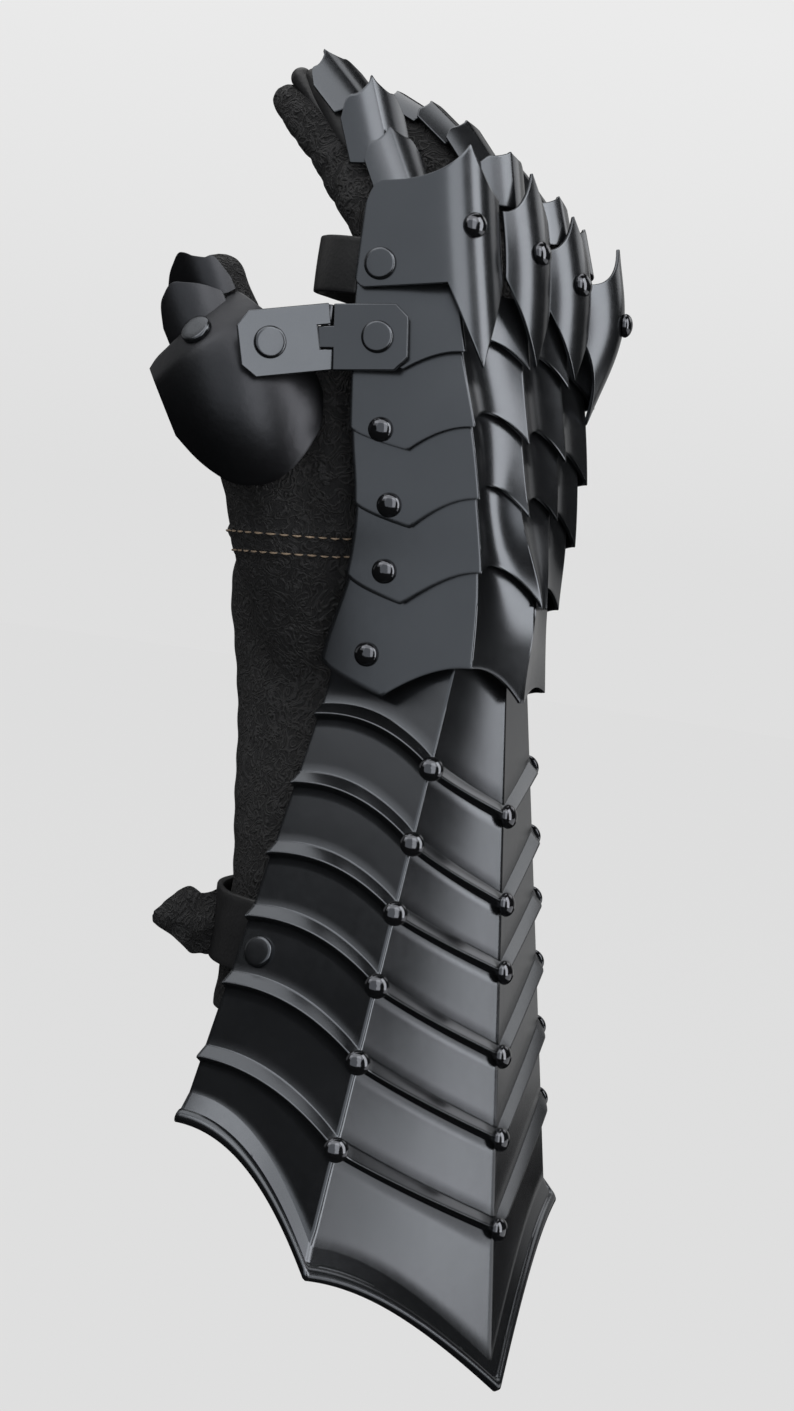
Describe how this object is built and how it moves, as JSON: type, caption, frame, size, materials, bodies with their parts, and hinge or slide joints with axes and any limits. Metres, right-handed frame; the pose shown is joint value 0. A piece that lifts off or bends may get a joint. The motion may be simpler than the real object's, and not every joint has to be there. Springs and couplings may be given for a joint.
{
  "type": "armoured gauntlet",
  "caption": "Articulated steel gauntlet on a suede glove: a flared ribbed cuff, shingled hand lames, knuckle plates, finger scales and a hinged thumb guard.",
  "frame": {"origin": "middle of the wearer's wrist, inside the glove", "axes": "+Z along the forearm toward the fingertips, -Y is the back of the hand, -X is the thumb side"},
  "size_m": [0.1539, 0.1373, 0.4021],
  "materials": {
    "plate_steel": "blackened steel sheet, satin with worn bright edges",
    "rivet_steel": "blackened steel, polished",
    "glove_suede": "black suede with a matt nap",
    "strap_leather": "smooth black leather, low sheen"
  },
  "bodies": {
    "root": {"cuff": "plate_steel", "rivet_cuff_side_1": "rivet_steel", "rivet_cuff_centre_1": "rivet_steel", "rivet_cuff_side_2": "rivet_steel", "rivet_cuff_centre_2": "rivet_steel", "rivet_cuff_side_3": "rivet_steel", "rivet_cuff_centre_3": "rivet_steel", "rivet_cuff_side_4": "rivet_steel", "rivet_cuff_centre_4": "rivet_steel", "rivet_cuff_side_5": "rivet_steel", "rivet_cuff_centre_5": "rivet_steel", "rivet_cuff_side_6": "rivet_steel", "rivet_cuff_centre_6": "rivet_steel", "lame_1": "plate_steel", "lame_2": "plate_steel", "rivet_lame_2": "rivet_steel", "lame_3": "plate_steel", "rivet_lame_3": "rivet_steel", "lame_4": "plate_steel", "rivet_lame_4": "rivet_steel", "lame_5": "plate_steel", "rivet_lame_5": "rivet_steel", "knuckle_index": "plate_steel", "rivet_knuckle_index": "rivet_steel", "rivet_index_flap": "rivet_steel", "knuckle_middle": "plate_steel", "rivet_knuckle_middle": "rivet_steel", "knuckle_ring": "plate_steel", "rivet_knuckle_ring": "rivet_steel", "knuckle_little": "plate_steel", "rivet_knuckle_little": "rivet_steel", "scale_index_1": "plate_steel", "scale_index_2": "plate_steel", "scale_index_3": "plate_steel", "scale_middle_1": "plate_steel", "scale_middle_2": "plate_steel", "scale_middle_3": "plate_steel", "scale_middle_4": "plate_steel", "scale_ring_1": "plate_steel", "scale_ring_2": "plate_steel", "scale_ring_3": "plate_steel", "scale_little_1": "plate_steel", "scale_little_2": "plate_steel", "scale_little_3": "plate_steel", "thumb_plate": "plate_steel", "rivet_thumb_plate": "rivet_steel", "thumb_plate_middle": "plate_steel", "thumb_plate_tip": "plate_steel", "hinge_hand_leaf": "plate_steel", "hinge_thumb_leaf": "plate_steel", "rivet_hinge_hand": "rivet_steel", "rivet_hinge_thumb": "rivet_steel", "glove": "glove_suede", "strap_wrist": "strap_leather", "strap_palm": "strap_leather", "strap_tail": "strap_leather", "rivet_strap": "rivet_steel"}
  },
  "joints": []
}
